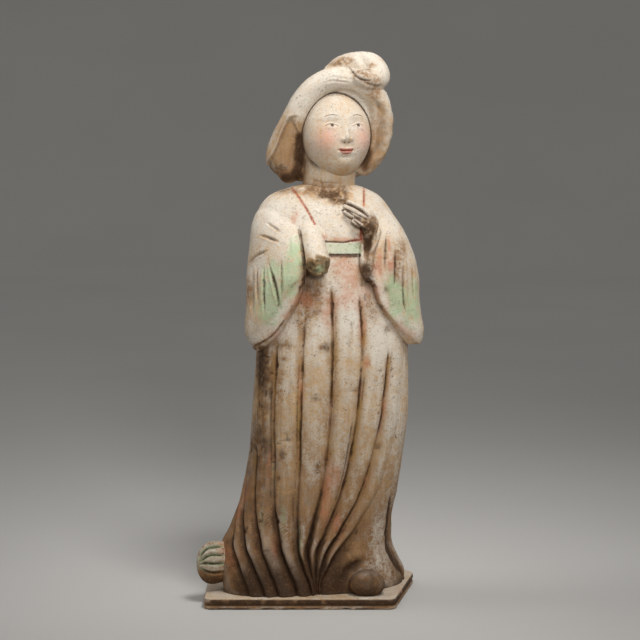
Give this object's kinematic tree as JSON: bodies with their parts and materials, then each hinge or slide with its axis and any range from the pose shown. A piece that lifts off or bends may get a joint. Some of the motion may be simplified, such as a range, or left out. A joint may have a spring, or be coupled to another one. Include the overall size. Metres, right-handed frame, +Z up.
{
  "type": "tomb attendant figure of a standing court lady",
  "caption": "Standing court lady of painted earthenware in a long pleated gown, one hand raised to the chest and the other forearm broken off, on a low slab plinth.",
  "frame": {"origin": "on the ground, under the middle of the whole work's box", "axes": "+Z up, -Y towards the figure's front, +X towards the viewer's right, the figure's left hand side"},
  "size_m": [0.198, 0.1272, 0.4803],
  "materials": {
    "painted_earthenware": "matt cream slip with worn cold paint and burial soil"
  },
  "bodies": {
    "root": {"court_lady_figure": "painted_earthenware"}
  },
  "joints": []
}
